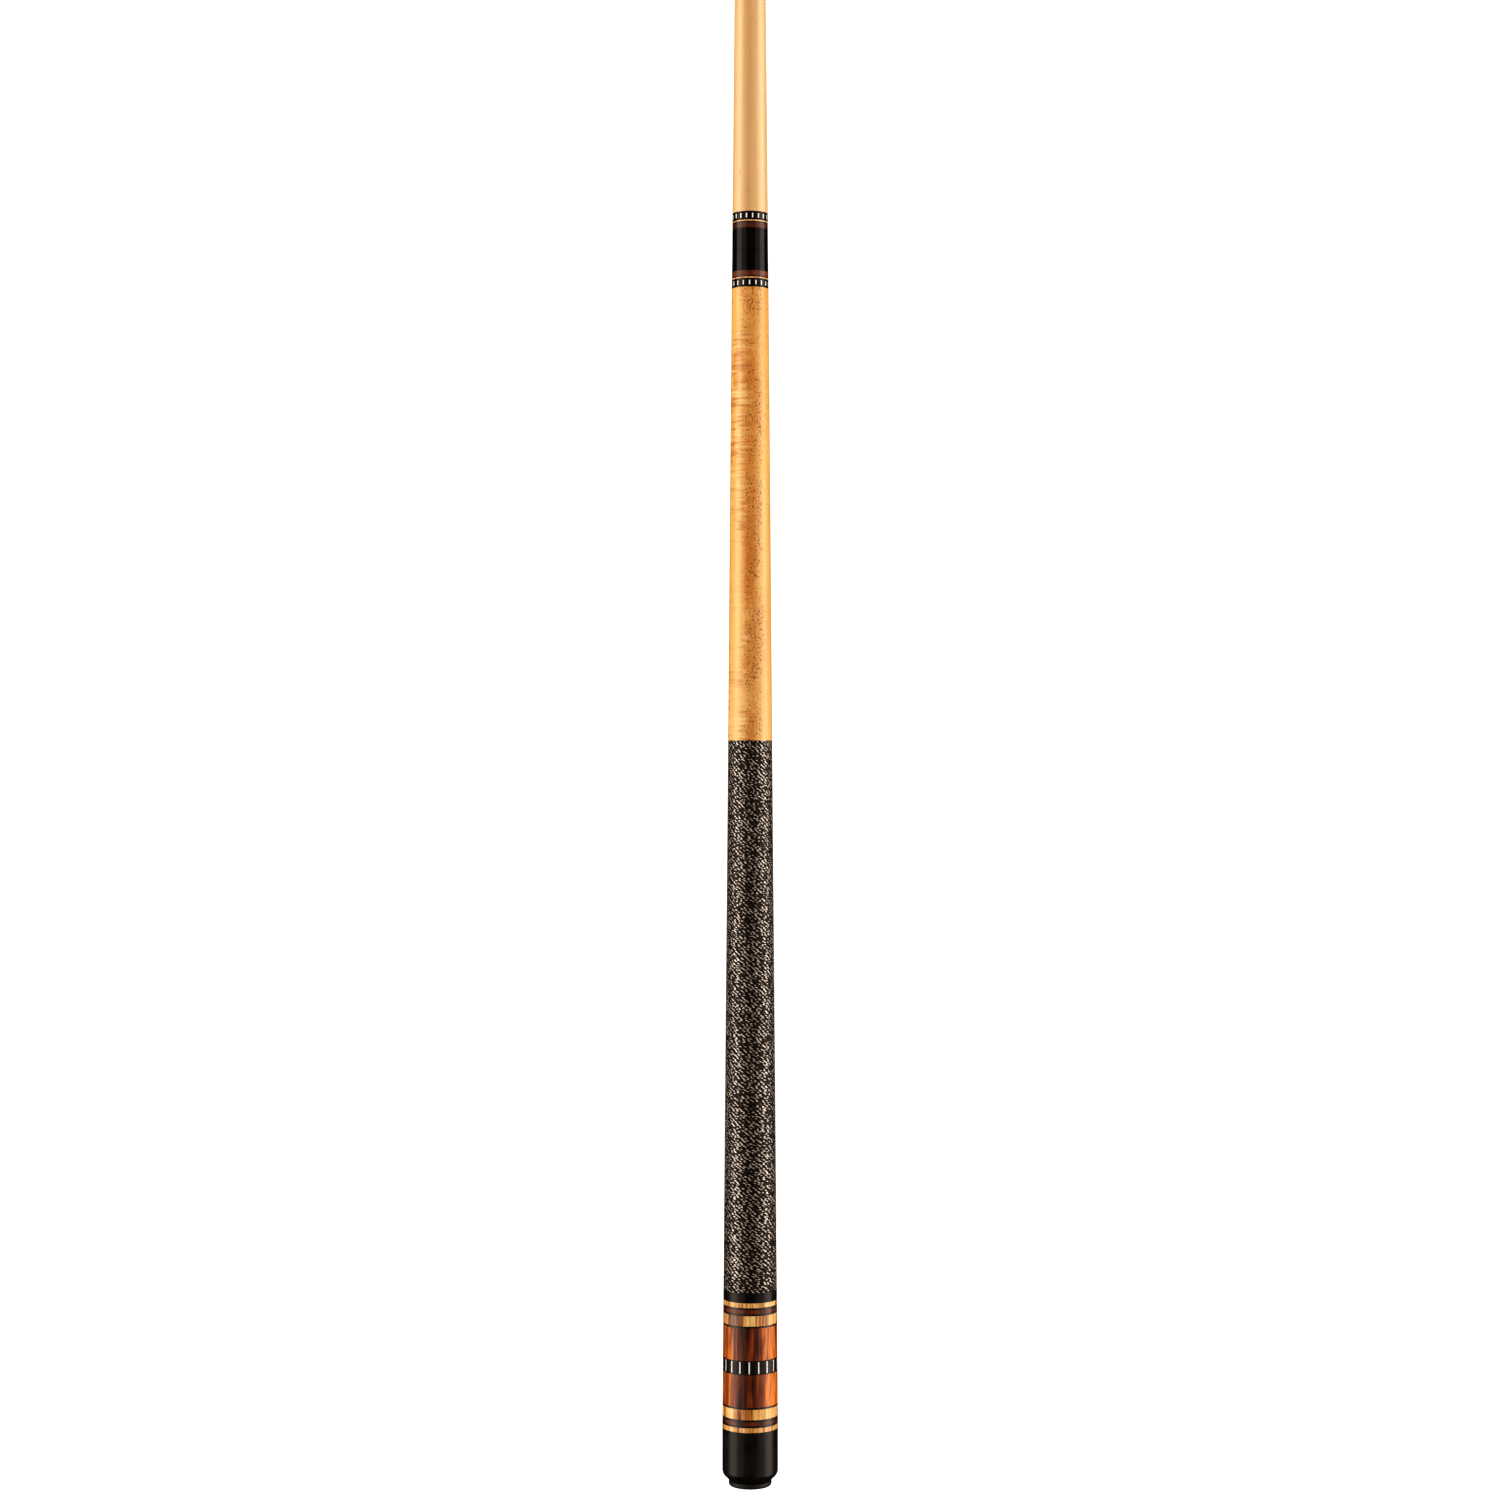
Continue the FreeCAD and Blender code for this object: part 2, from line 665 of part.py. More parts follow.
# Leather tip: a disc cut to a dome by a sphere that touches the very top of the cue.
leather_disc = bound(
    "Part::Cylinder",
    "leather_tip_disc",
    Radius=dim("shaft_end_radius"),
    Height=dim("leather_tip_length"),
)
leather_disc.setExpression("Placement.Base.z", LEATHER_BOTTOM)
dome = bound("Part::Sphere", "leather_tip_dome", Radius=dim("tip_dome_radius"))
dome.setExpression("Placement.Base.z", f"{TIP_TOP} - {dim('tip_dome_radius')}")
pieces.append(boolean("Part::Common", "leather_tip", leather_disc, dome))

doc.recompute()

for item in doc.Objects:
    if "Invalid" in item.State or "Error" in item.State:
        raise RuntimeError(f"{item.Name} did not compute: {item.State}")
for piece in pieces:
    if piece.Shape.isNull() or not piece.Shape.isValid():
        raise RuntimeError(f"{piece.Label} has no valid shape")

os.makedirs(OUTPUT_FOLDER, exist_ok=True)
for piece in pieces:
    piece.Shape.exportStep(f"{OUTPUT_FOLDER}/{piece.Label}.step")
    box = piece.Shape.BoundBox
    print(
        f"{piece.Label:24s} {piece.Shape.Volume:12.1f} mm3  {len(piece.Shape.Solids):3d} solid(s)"
        f"  z {box.ZMin:8.2f} to {box.ZMax:8.2f}  width {box.XLength:6.2f}"
    )
print(f"{len(pieces)} pieces written")
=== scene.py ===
import json
import math

import bmesh
import bpy
import mathutils
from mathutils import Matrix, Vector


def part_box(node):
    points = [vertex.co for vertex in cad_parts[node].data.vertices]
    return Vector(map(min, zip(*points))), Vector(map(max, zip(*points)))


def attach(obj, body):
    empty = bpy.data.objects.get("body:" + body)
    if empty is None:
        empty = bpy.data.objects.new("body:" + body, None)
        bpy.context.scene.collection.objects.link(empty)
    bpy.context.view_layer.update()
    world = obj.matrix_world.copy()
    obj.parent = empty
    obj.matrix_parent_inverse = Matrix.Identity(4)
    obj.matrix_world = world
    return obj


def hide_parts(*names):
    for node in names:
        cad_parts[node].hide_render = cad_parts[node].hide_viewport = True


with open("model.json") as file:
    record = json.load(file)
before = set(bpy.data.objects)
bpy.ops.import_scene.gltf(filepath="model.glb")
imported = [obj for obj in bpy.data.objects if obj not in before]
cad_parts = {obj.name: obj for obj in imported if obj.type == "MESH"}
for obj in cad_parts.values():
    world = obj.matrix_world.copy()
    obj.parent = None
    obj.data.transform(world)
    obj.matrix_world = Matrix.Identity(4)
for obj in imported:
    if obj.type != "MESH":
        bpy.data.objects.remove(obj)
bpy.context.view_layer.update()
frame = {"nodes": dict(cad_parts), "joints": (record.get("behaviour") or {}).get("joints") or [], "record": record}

# Metres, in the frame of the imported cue: +Z from the bumper to the tip, and the camera on the -Y side.

# Camera: level with the middle of the wrap and the forearm, so the shaft runs out of the view. It
# stands a little to the right of -Y, so the inlay that faces -Y shows left of the cue's middle.
CAMERA_DISTANCE = 1.698
CAMERA_HEIGHT = 0.441
CAMERA_TURN = math.radians(1.9)
CAMERA_SHIFT = -0.0001
CAMERA_LENS = 67.9
SENSOR_WIDTH = 36.0

# Tall warm softboxes, a bright narrow one within a dim wide one on each side, so that what the
# lacquer mirrors fades out towards the cue's middle. Another one behind the cue lights its back and
# isn't mirrored. Azimuths are degrees round from the camera, and radiances are in watts per
# steradian and square metre.
SOFTBOX_DISTANCE = 1.0
SOFTBOX_HEIGHT = 2.6
SOFTBOX_MIDDLE_HEIGHT = 0.65
SOFTBOX_COLOUR = (1.0, 0.87, 0.75)
SOFTBOXES = (
    {"name": "left_core", "azimuth": 73.0, "spread": 32.0, "radiance": 2.2},
    {"name": "left_halo", "azimuth": 62.0, "spread": 74.0, "radiance": 0.85},
    {"name": "right_core", "azimuth": -82.0, "spread": 34.0, "radiance": 2.3},
    {"name": "right_halo", "azimuth": -70.0, "spread": 74.0, "radiance": 0.85},
)
BACK_LIGHT = {"name": "back", "azimuth": 180.0, "spread": 80.0, "radiance": 1.3}
FILL = 0.19
FILL_IN_GLOSS = 0.01
BACKGROUND = 1.02
FLOOR_SIZE = 12.0
FLOOR_GAP = 0.001
FLOOR_COLOUR = (0.4, 0.4, 0.4, 1)
FLOOR_GLOW = 0.85

# Linen wrap: one thread wound round the handle. A row across the thread is a share of the pitch
# and a share of the groove's depth.
THREAD_PITCH = 0.00065
THREAD_GROOVE = 0.00013
THREAD_SIDES = 60
THREAD_ROWS = ((0.0, 1.0), (0.3, 0.0), (0.7, 0.0))
FLECKS_PER_TURN = 31.23
FLECK_LENGTH = 0.35
SHORTEST_THREAD_FACE = THREAD_PITCH / 1000

# Figure and painted shade in the woods: where they lie across the cue's front, along x, and how far
# they wander. The bands down the front are painted shade, and on the forearm partly a browner figure.
MAPLE_WANDER = 0.012
MAPLE_BAND_X = 0.0008
MAPLE_BAND_CORE = 0.0010
MAPLE_BAND_REACH = 0.0070
MAPLE_DOTS_X = 0.0025
MAPLE_DOTS_CORE = 0.002
MAPLE_DOTS_REACH = 0.010
MAPLE_RIPPLE_EDGE = 0.004
PLAIN_MAPLE_WANDER = 0.004
PLAIN_MAPLE_FRONT_SHADE_REACH = 0.0075
COCOBOLO_FRONT_SHADE_CORE = 0.002
COCOBOLO_FRONT_SHADE_REACH = 0.014
BROWN_STRETCH_RIGHT = (-0.0035, -0.0048)
BROWN_STRETCH_LEFT = (-0.0140, -0.0120)
BROWN_STRETCH_FADE = 0.001

# Depths of the finest relief, which only bends the light.
GRAIN_RELIEF = 0.00001
VENEER_RELIEF = 0.000005
LATHE_RELIEF = 0.000002
TURNING_RELIEF = 0.000004
METAL_RELIEF = 0.000006
RUBBER_RELIEF = 0.00004
LEATHER_RELIEF = 0.00009
THREAD_RELIEF = 0.00003

# Wear: how far the chalk reaches down the ferrule, and the dust up the bumper.
CHALK_REACH = 0.005
DUST_REACH = 0.0012

# Leather tip.
TIP_DOME_RADIUS = 0.0106
TIP_LAYERS = 6
TIP_LAYER_GROOVE = 0.00006
TIP_LAYER_FLAT = (0.3, 0.7)
TIP_SCUFF = 0.00008
TIP_SCUFF_COARSE = 1400
TIP_SCUFF_FINE = 3100
TIP_SIDES = 96
TIP_DOME_RINGS = 16

# Sockets of Blender's Mix node when it mixes colours.
MIX_FACTOR, MIX_A, MIX_B, MIX_RESULT = 0, 6, 7, 2


class Graph:
    """A material's node tree. Each call adds a node and returns its output socket, and an input
    may be a number, a colour or another node's output."""

    def __init__(self, name):
        self.material = bpy.data.materials.new(name)
        self.material.use_nodes = True
        self.tree = self.material.node_tree
        self.shader = self.tree.nodes["Principled BSDF"]
        self.place = self.tree.nodes.new("ShaderNodeTexCoord").outputs["Object"]
        split = self.node("SeparateXYZ", {"Vector": self.place})
        self.x, self.y, self.z = split.outputs

    def node(self, kind, inputs, **settings):
        node = self.tree.nodes.new(f"ShaderNode{kind}")
        for key, value in settings.items():
            setattr(node, key, value)
        for key, value in inputs.items():
            self.feed(node.inputs[key], value)
        return node

    def feed(self, socket, value):
        if isinstance(value, bpy.types.NodeSocket):
            self.tree.links.new(value, socket)
        else:
            socket.default_value = value

    def math(self, operation, *values):
        return self.node("Math", dict(enumerate(values)), operation=operation).outputs[0]

    def add(self, *values):
        total = values[0]
        for value in values[1:]:
            total = self.math("ADD", total, value)
        return total

    def times(self, *values):
        product = values[0]
        for value in values[1:]:
            product = self.math("MULTIPLY", product, value)
        return product

    def stretched(self, across, along):
        """The place, scaled by a number across the cue and another along it."""
        scaled = self.node(
            "VectorMath", {0: self.place, 1: (across, across, along)}, operation="MULTIPLY"
        )
        return scaled.outputs[0]

    def noise(self, across, along, detail=2.0, distortion=0.0, roughness=0.5):
        """Noise from 0 to 1, with about this many features per metre across and along the cue."""
        inputs = {
            "Vector": self.stretched(across, along),
            "Scale": 1.0,
            "Detail": detail,
            "Distortion": distortion,
            "Roughness": roughness,
        }
        return self.node("TexNoise", inputs).outputs["Fac"]

    def step(self, value, start, end, low=0.0, high=1.0):
        """A smooth step of a value from one level to another."""
        inputs = {"Value": value, "From Min": start, "From Max": end, "To Min": low, "To Max": high}
        node = self.node("MapRange", inputs, interpolation_type="SMOOTHSTEP")
        return node.outputs["Result"]

    def mix(self, factor, first, second, blend="MIX"):
        inputs = {MIX_FACTOR: factor, MIX_A: first, MIX_B: second}
        node = self.node("Mix", inputs, data_type="RGBA", blend_type=blend)
        return node.outputs[MIX_RESULT]

    def ramp(self, value, *stops):
        """Colours along a value, each stop a position and a colour."""
        node = self.node("ValToRGB", {"Fac": value})
        elements = node.color_ramp.elements
        while len(elements) < len(stops):
            elements.new(1.0)
        for element, (position, colour) in zip(elements, stops):
            element.position = position
            element.color = colour
        return node.outputs["Color"]

    def bump(self, height, distance, strength=1.0):
        inputs = {"Height": height, "Distance": distance, "Strength": strength}
        self.feed(self.shader.inputs["Normal"], self.node("Bump", inputs).outputs["Normal"])

    def finish(self, colour, roughness, **others):
        """Set the shader's colour and roughness, and other sockets such as Coat_Weight."""
        self.feed(self.shader.inputs["Base Color"], colour)
        self.feed(self.shader.inputs["Roughness"], roughness)
        for key, value in others.items():
            self.feed(self.shader.inputs[key.replace("_", " ")], value)
        return self.material


def rgb(red, green, blue):
    return (red, green, blue, 1.0)


def lacquer(graph, colour, grain, coat=1.0):
    """Wood under a clear coat: fine grain shows faintly through, and the coat has soft smears."""
    smears = graph.noise(60, 25, detail=3)
    graph.bump(grain, GRAIN_RELIEF, strength=0.25)
    return graph.finish(
        colour,
        graph.step(smears, 0.3, 0.7, 0.42, 0.55),
        Coat_Weight=coat,
        Coat_Roughness=0.24,
        Coat_IOR=1.5,
        Specular_IOR_Level=0.2,
    )


# --- woods ---------------------------------------------------------------------------------------


def figured_maple():
    """Forearm: golden maple, rippled on one side with painted pale glints, and with a browner band thick
    with dark dots down the front; the band is partly browner figure and partly painted shade. Its
    lower half is paler."""
    graph = Graph("figured_maple")
    grain = graph.noise(1100, 16, detail=4)
    tone = graph.noise(70, 9, detail=3, distortion=0.6)
    colour = graph.ramp(
        graph.add(graph.times(tone, 0.75), graph.times(grain, 0.3)),
        (0.30, rgb(0.76, 0.350, 0.062)),
        (0.52, rgb(0.87, 0.475, 0.110)),
        (0.74, rgb(0.93, 0.600, 0.190)),
    )
    low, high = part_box("forearm")
    lower = graph.step(graph.z, (low.z + high.z) / 2, low.z)
    colour = graph.mix(graph.times(lower, 0.35), colour, rgb(0.95, 0.65, 0.26))
    wander = graph.times(graph.add(graph.noise(12, 22), -0.5), MAPLE_WANDER)
    # Partly browner figure, partly painted shade: the band darkens the forearm down its front and back.
    from_band = graph.math("ABSOLUTE", graph.add(graph.x, wander, -MAPLE_BAND_X))
    band = graph.step(from_band, MAPLE_BAND_REACH, MAPLE_BAND_CORE)
    uneven = graph.step(graph.noise(60, 28, detail=3), 0.30, 0.70, 0.35, 1.0)
    colour = graph.mix(graph.times(band, uneven, 0.85), colour, rgb(0.62, 0.190, 0.022))
    patches = graph.noise(60, 24, detail=3)
    side = graph.step(graph.x, MAPLE_RIPPLE_EDGE, -MAPLE_RIPPLE_EDGE, 0.12, 1.0)
    rippled = graph.times(graph.step(patches, 0.36, 0.60), side)
    burnt = graph.step(graph.noise(85, 24, detail=2, distortion=0.8), 0.54, 0.66)
    colour = graph.mix(graph.times(burnt, rippled, 0.7), colour, rgb(0.70, 0.250, 0.030))
    ripple = graph.noise(48, 420, detail=3, distortion=1.3)
    dark = graph.times(graph.step(ripple, 0.48, 0.64), rippled, 0.7)
    colour = graph.mix(dark, colour, rgb(0.52, 0.160, 0.016))
    # Painted highlight: pale glints on the ripples of the rippled side.
    bright = graph.times(graph.step(ripple, 0.46, 0.33), rippled, 0.8)
    colour = graph.mix(bright, colour, rgb(0.95, 0.64, 0.27))
    dots = graph.step(graph.noise(1150, 820, detail=1), 0.565, 0.64)
    specks = graph.step(graph.noise(2300, 1500, detail=1), 0.55, 0.64)
    thick = graph.step(graph.noise(70, 50), 0.33, 0.55, 0.45, 1.0)
    from_dots = graph.math("ABSOLUTE", graph.add(graph.x, wander, -MAPLE_DOTS_X))
    near_dots = graph.step(from_dots, MAPLE_DOTS_REACH, MAPLE_DOTS_CORE, 0.12, 0.95)
    thick = graph.times(thick, near_dots)
    colour = graph.mix(graph.times(specks, thick, 0.6), colour, rgb(0.42, 0.115, 0.012))
    colour = graph.mix(graph.times(dots, thick), colour, rgb(0.26, 0.055, 0.004))
    return lacquer(graph, colour, grain)


def plain_maple(name, pale, deep, coat):
    """Straight-grained maple, with growth lines, a few short mineral flecks, and painted shade darkening it down
    the front and back.
    """
    graph = Graph(name)
    grain = graph.noise(1300, 9, detail=4)
    rings = graph.noise(230, 2.2, detail=3, distortion=0.3)
    tone = graph.add(graph.times(rings, 0.7), graph.times(grain, 0.3))
    colour = graph.mix(graph.step(tone, 0.30, 0.68), deep, pale)
    # Painted shade: a band multiplied darker down the front and back, where the side lights reach least.
    wander = graph.times(graph.add(graph.noise(8, 5), -0.5), PLAIN_MAPLE_WANDER)
    from_band = graph.math("ABSOLUTE", graph.add(graph.x, wander))
    band = graph.step(from_band, PLAIN_MAPLE_FRONT_SHADE_REACH, 0.0)
    colour = graph.mix(graph.times(band, 0.35), colour, deep, blend="MULTIPLY")
    lines = graph.step(graph.noise(620, 5, detail=2), 0.60, 0.70)
    colour = graph.mix(graph.times(lines, 0.25), colour, deep)
    flecks = graph.step(graph.noise(900, 95, detail=1), 0.715, 0.76)
    colour = graph.mix(graph.times(flecks, 0.5), colour, rgb(0.36, 0.14, 0.035))
    graph.bump(grain, GRAIN_RELIEF, strength=0.3)
    smears = graph.noise(60, 18, detail=3)
    return graph.finish(
        colour,
        graph.step(smears, 0.3, 0.7, 0.40, 0.52),
        Coat_Weight=coat,
        Coat_Roughness=0.26,
        Coat_IOR=1.5,
        Specular_IOR_Level=0.3,
    )


def cocobolo():
    """Butt sleeves: orange-red wood with black-brown streaks, with painted shade darkening it down the front and
    back and lighter sides.
    """
    graph = Graph("cocobolo")
    streaks = graph.noise(190, 22, detail=4, distortion=0.9, roughness=0.6)
    broad = graph.noise(75, 9, detail=2)
    fine = graph.noise(1500, 45, detail=3)
    from_front = graph.math("ABSOLUTE", graph.x)
    # Painted shade: the wood is darker down the front and back, and lighter towards the sides.
    front_shade = graph.step(from_front, COCOBOLO_FRONT_SHADE_CORE, COCOBOLO_FRONT_SHADE_REACH, -0.06, 0.10)
    value = graph.add(
        graph.times(streaks, 0.55), graph.times(broad, 0.3), graph.times(fine, 0.15), front_shade
    )
    colour = graph.ramp(
        value,
        (0.38, rgb(0.032, 0.0045, 0.0008)),
        (0.46, rgb(0.13, 0.020, 0.0025)),
        (0.54, rgb(0.28, 0.052, 0.005)),
        (0.64, rgb(0.86, 0.235, 0.010)),
    )
    lines = graph.step(graph.noise(460, 14, detail=3, distortion=1.2), 0.57, 0.64)
    colour = graph.mix(graph.times(lines, 0.9), colour, rgb(0.014, 0.003, 0.001))
    threads = graph.step(graph.noise(1000, 16, detail=2, distortion=0.6), 0.58, 0.66)
    colour = graph.mix(graph.times(threads, 0.7), colour, rgb(0.035, 0.006, 0.001))
    pores = graph.step(graph.noise(2600, 260, detail=1), 0.66, 0.74)
    colour = graph.mix(graph.times(pores, 0.5), colour, rgb(0.02, 0.005, 0.002))
    return lacquer(graph, colour, fine, coat=0.5)


def streaked_wood():
    """Wide light rings: short upright dark and pale streaks. The upper ring has a brown stretch
    left of its front."""
    graph = Graph("streaked_wood")
    broad = graph.noise(120, 14, detail=2)
    fine = graph.noise(900, 30, detail=4, distortion=0.5)
    value = graph.add(graph.times(broad, 0.55), graph.times(fine, 0.45))
    colour = graph.ramp(
        value,
        (0.38, rgb(0.20, 0.048, 0.007)),
        (0.46, rgb(0.56, 0.20, 0.030)),
        (0.52, rgb(0.84, 0.43, 0.090)),
        (0.62, rgb(0.96, 0.70, 0.300)),
    )
    lines = graph.step(graph.noise(750, 12, detail=2), 0.60, 0.68)
    colour = graph.mix(graph.times(lines, 0.8), colour, rgb(0.15, 0.040, 0.007))
    ring_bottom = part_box("upper_streaked_ring")[0].z
    upper = graph.step(graph.z, ring_bottom - BROWN_STRETCH_FADE, ring_bottom)
    stretch = graph.times(
        graph.step(graph.x, *BROWN_STRETCH_RIGHT), graph.step(graph.x, *BROWN_STRETCH_LEFT), upper
    )
    brown = graph.mix(graph.step(fine, 0.35, 0.62), rgb(0.06, 0.014, 0.002), rgb(0.34, 0.105, 0.014))
    return lacquer(graph, graph.mix(stretch, colour, brown), fine)


def light_ring_wood():
    """Thin golden rings."""
    graph = Graph("light_ring_wood")
    fine = graph.noise(1000, 60, detail=4)
    broad = graph.noise(260, 40, detail=2)
    value = graph.add(graph.times(fine, 0.55), graph.times(broad, 0.45))
    colour = graph.ramp(
        value,
        (0.38, rgb(0.22, 0.070, 0.012)),
        (0.46, rgb(0.66, 0.30, 0.065)),
        (0.54, rgb(0.84, 0.46, 0.140)),
        (0.64, rgb(0.97, 0.72, 0.340)),
    )
    return lacquer(graph, colour, fine)


def red_brown_wood():
    """Dark rings beside the light ones."""
    graph = Graph("red_brown_wood")
    fine = graph.noise(1400, 70, detail=4)
    broad = graph.noise(220, 30, detail=2)
    value = graph.add(graph.times(fine, 0.4), graph.times(broad, 0.6))
    colour = graph.ramp(
        value,
        (0.38, rgb(0.034, 0.005, 0.001)),
        (0.50, rgb(0.105, 0.017, 0.003)),
        (0.64, rgb(0.21, 0.042, 0.006)),
    )
    return lacquer(graph, colour, fine, coat=0.6)


# --- plastics, rubber and fibre ------------------------------------------------------------------


def black_phenolic():
    """Cap, collars and inlaid rings: black resin with faint hairlines from the lathe. It is worn a
    little dull low down, where the cap is set on the floor, and polished at the joint. Its colour is
    painted a little lighter low down, a painted sheen on the cap."""
    graph = Graph("black_phenolic")
    hairlines = graph.noise(12, 9000, detail=2)
    smears = graph.noise(130, 90, detail=4)
    polish = graph.step(graph.z, 0.0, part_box("joint_collar")[0].z)
    cloud = graph.step(smears, 0.3, 0.7)
    # Painted sheen: the colour low down, on the cap, is lighter than at the joint; only the roughness is wear.
    worn = graph.mix(cloud, rgb(0.006, 0.005, 0.0045), rgb(0.015, 0.0125, 0.011))
    polished = graph.mix(cloud, rgb(0.002, 0.0018, 0.0016), rgb(0.005, 0.004, 0.0035))
    graph.bump(hairlines, LATHE_RELIEF, strength=0.2)
    roughness = graph.add(graph.times(cloud, 0.06), graph.times(polish, -0.12), 0.23)
    return graph.finish(graph.mix(polish, worn, polished), roughness, Specular_IOR_Level=0.2)


def black_veneer():
    """Thin black lines between the rings: dyed wood under the coat."""
    graph = Graph("black_veneer")
    fine = graph.noise(1400, 300, detail=3)
    colour = graph.mix(fine, rgb(0.003, 0.0025, 0.002), rgb(0.018, 0.012, 0.008))
    graph.bump(fine, VENEER_RELIEF, strength=0.2)
    return graph.finish(colour, graph.step(fine, 0.3, 0.7, 0.25, 0.38), Specular_IOR_Level=0.4)


def white_inlay():
    """Upright dashes: ivory-white resin with a little cloud in it."""
    graph = Graph("white_inlay")
    cloud = graph.noise(420, 300, detail=3)
    colour = graph.mix(graph.step(cloud, 0.3, 0.7), rgb(0.94, 0.93, 0.90), rgb(0.98, 0.98, 0.96))
    return graph.finish(
        colour, graph.step(cloud, 0.3, 0.7, 0.22, 0.30), Coat_Weight=0.6, Coat_Roughness=0.1
    )


def black_rubber():
    """Bumper: matt moulded rubber with a fine pebble and dusty, lighter scuffs underneath."""
    graph = Graph("black_rubber")
    pebble = graph.noise(3800, 3800, detail=2)
    dust = graph.noise(480, 480, detail=5)
    underside = graph.step(graph.z, DUST_REACH, 0.0)
    scuffs = graph.times(graph.step(dust, 0.48, 0.64), graph.add(graph.times(underside, 0.8), 0.2))
    colour = graph.mix(scuffs, rgb(0.009, 0.009, 0.0095), rgb(0.055, 0.052, 0.05))
    graph.bump(pebble, RUBBER_RELIEF, strength=0.6)
    return graph.finish(colour, graph.step(pebble, 0.3, 0.7, 0.50, 0.68), Specular_IOR_Level=0.35)


def ferrule_white():
    """Ferrule: cream-white resin, with faint turning marks and chalk near the tip."""
    graph = Graph("ferrule_white")
    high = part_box("ferrule")[1]
    cloud = graph.noise(300, 120, detail=4)
    turning = graph.noise(20, 7000, detail=1)
    colour = graph.mix(graph.step(cloud, 0.3, 0.7), rgb(0.78, 0.75, 0.66), rgb(0.88, 0.86, 0.80))
    near_tip = graph.step(graph.z, high.z - CHALK_REACH, high.z)
    chalk = graph.times(near_tip, graph.step(graph.noise(700, 260, detail=4), 0.48, 0.72), 0.5)
    colour = graph.mix(chalk, colour, rgb(0.30, 0.42, 0.52))
    graph.bump(turning, TURNING_RELIEF, strength=0.3)
    return graph.finish(
        colour,
        graph.step(cloud, 0.3, 0.7, 0.28, 0.38),
        Coat_Weight=0.4,
        Coat_Roughness=0.15,
        Subsurface_Weight=0.05,
        Subsurface_Scale=0.001,
    )


def pad_fibre():
    """Pad under the tip: pressed red fibre in thin layers."""
    graph = Graph("pad_fibre")
    layers = graph.noise(30, 9000, detail=2)
    fibres = graph.noise(2600, 900, detail=3)
    value = graph.add(graph.times(layers, 0.6), graph.times(fibres, 0.4))
    colour = graph.ramp(
        value,
        (0.35, rgb(0.16, 0.010, 0.008)),
        (0.55, rgb(0.34, 0.024, 0.018)),
        (0.70, rgb(0.46, 0.05, 0.035)),
    )
    graph.bump(layers, GRAIN_RELIEF, strength=0.5)
    return graph.finish(colour, graph.step(fibres, 0.3, 0.7, 0.55, 0.75))


def tip_leather():
    """Tip: dark burnished sides with pressed layers, and a rougher, paler dome with chalk on it."""
    graph = Graph("tip_leather")
    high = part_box("leather_tip")[1]
    rim = high.z - TIP_DOME_RADIUS + math.sqrt(TIP_DOME_RADIUS**2 - high.x**2)
    dome = graph.step(graph.z, rim - 0.0002, rim + 0.0004)
    hide = graph.noise(900, 900, detail=6, roughness=0.65)
    fibres = graph.noise(3500, 3500, detail=3)
    sides = graph.mix(graph.step(hide, 0.3, 0.7), rgb(0.035, 0.014, 0.006), rgb(0.12, 0.05, 0.02))
    top = graph.mix(graph.step(hide, 0.35, 0.65), rgb(0.22, 0.12, 0.06), rgb(0.42, 0.27, 0.15))
    chalk = graph.times(graph.step(graph.noise(650, 650, detail=4), 0.46, 0.66), 0.45)
    top = graph.mix(chalk, top, rgb(0.22, 0.38, 0.52))
    graph.bump(graph.add(hide, graph.times(fibres, 0.5)), LEATHER_RELIEF, strength=0.7)
    return graph.finish(
        graph.mix(dome, sides, top), graph.step(dome, 0.0, 1.0, 0.38, 0.9), Specular_IOR_Level=0.4
    )


# --- metals --------------------------------------------------------------------------------------


def turned_metal(name, bright, dull, smooth, rough):
    """Turned or rolled metal: fine rings round it, with darker handling marks."""
    graph = Graph(name)
    rings = graph.noise(40, 8000, detail=2)
    marks = graph.noise(260, 180, detail=5)
    colour = graph.mix(graph.step(marks, 0.42, 0.68), bright, dull)
    graph.bump(rings, METAL_RELIEF, strength=0.4)
    worn = graph.add(graph.times(marks, 0.6), graph.times(rings, 0.4))
    return graph.finish(colour, graph.step(worn, 0.3, 0.7, smooth, rough), Metallic=1.0)


# --- linen ---------------------------------------------------------------------------------------


